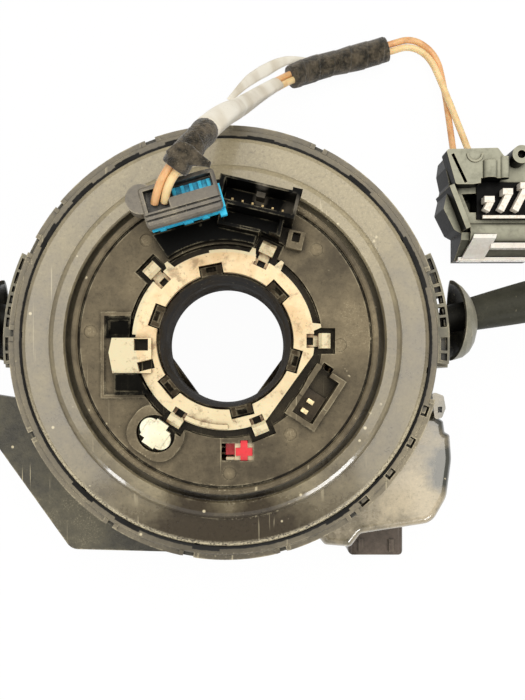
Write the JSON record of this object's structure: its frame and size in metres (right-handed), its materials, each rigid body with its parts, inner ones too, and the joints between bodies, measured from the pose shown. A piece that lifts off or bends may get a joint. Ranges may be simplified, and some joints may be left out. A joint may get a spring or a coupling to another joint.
{
  "type": "steering clock spring",
  "caption": "Steering column switch module with a clock spring: stepped annular cover, turning face with plug header, ivory retaining ring, hollow bore, stalks and a short lead.",
  "frame": {"origin": "on the bore axis, on the back face that the module stands on", "axes": "+Z along the bore towards the steering wheel, +X towards the right hand stalk, +Y to the top of the wheel"},
  "size_m": [0.3448, 0.1603, 0.0746],
  "materials": {
    "black_plastic": "dull moulded black plastic",
    "satin_plastic": "satin moulded black plastic",
    "gloss_cover": "glossy smooth black plastic",
    "ivory_plastic": "ivory moulded plastic",
    "white_plastic": "white moulded plastic",
    "blue_plastic": "blue moulded plastic",
    "red_plastic": "red moulded plastic",
    "silver_plastic": "pale glossy plastic",
    "orange_wire": "orange brown wire sheath",
    "tan_wire": "tan wire sheath",
    "fleece_tape": "fuzzy black wiring tape",
    "label_paper": "white paper label",
    "tinned_pin": "tinned pins",
    "brass_pin": "brass contact",
    "screw_steel": "zinc plated steel",
    "board_green": "circuit board laminate",
    "flat_cable_film": "amber flat cable film",
    "spring_steel": "spring wire"
  },
  "bodies": {
    "root": {"switch_carrier": "black_plastic", "stator_housing": "satin_plastic", "stator_cover": "satin_plastic", "flat_cable": "flat_cable_film", "circuit_board": "board_green", "board_parts": "black_plastic", "vehicle_socket": "black_plastic", "vehicle_pins": "tinned_pin", "side_cover": "gloss_cover", "carrier_screws": "screw_steel", "right_switch_block": "satin_plastic", "left_switch_block": "satin_plastic", "lead_wire_orange": "orange_wire", "lead_wire_tan": "tan_wire", "lead_tape_near": "fleece_tape", "lead_label": "label_paper", "lead_tape_far": "fleece_tape", "far_connector_body": "black_plastic", "far_connector_slide": "silver_plastic", "far_connector_bar": "silver_plastic"},
    "rotor": {"rotor_disc": "satin_plastic", "ring_latch": "satin_plastic", "column_sleeve": "black_plastic", "retaining_ring": "ivory_plastic", "wheel_header": "satin_plastic", "header_pins": "tinned_pin", "airbag_plug": "black_plastic", "plug_lock": "blue_plastic", "plug_comb": "blue_plastic", "signal_contacts": "brass_pin", "mark_card": "white_plastic", "mark_cross": "red_plastic", "lock_spring": "spring_steel"},
    "lock_button": {"lock_plug": "white_plastic"},
    "right_yoke": {"right_cradle": "white_plastic", "right_stalk_pin": "screw_steel"},
    "right_lever": {"right_stalk": "black_plastic", "right_dome": "satin_plastic"},
    "left_yoke": {"left_cradle": "white_plastic", "left_stalk_pin": "screw_steel"},
    "left_lever": {"left_stalk": "black_plastic", "left_dome": "satin_plastic"}
  },
  "joints": [
    {"name": "rotor_turn", "type": "hinge", "parent": "root", "child": "rotor", "pos_m": [0, 0, 0], "axis": [0, 0, 1], "range_deg": [-1080, 1080], "deforming": ["flat_cable", "lead_wire_orange", "lead_wire_tan", "lead_tape_near", "lead_label", "lead_tape_far"]},
    {"name": "lock_press", "type": "slide", "parent": "rotor", "child": "lock_button", "axis": [0, 0, 1], "range_m": [-0.0025, 0], "stiffness_N_per_m": 600, "springref_m": 0.001, "deforming": ["lock_spring"]},
    {"name": "right_sweep", "type": "hinge", "parent": "root", "child": "right_yoke", "pos_m": [0.0564, 0.006, 0.026], "axis": [0, 0, 1], "range_deg": [-8, 8]},
    {"name": "right_pull", "type": "hinge", "parent": "right_yoke", "child": "right_lever", "pos_m": [0.0564, 0.006, 0.026], "axis": [0.2164, -0.9763, 0], "range_deg": [-6, 6], "stiffness_Nm_per_rad": 3},
    {"name": "left_sweep", "type": "hinge", "parent": "root", "child": "left_yoke", "pos_m": [-0.0564, 0.006, 0.026], "axis": [0, 0, 1], "range_deg": [-8, 8]},
    {"name": "left_pull", "type": "hinge", "parent": "left_yoke", "child": "left_lever", "pos_m": [-0.0564, 0.006, 0.026], "axis": [0.2164, 0.9763, 0], "range_deg": [-6, 6], "stiffness_Nm_per_rad": 3}
  ]
}
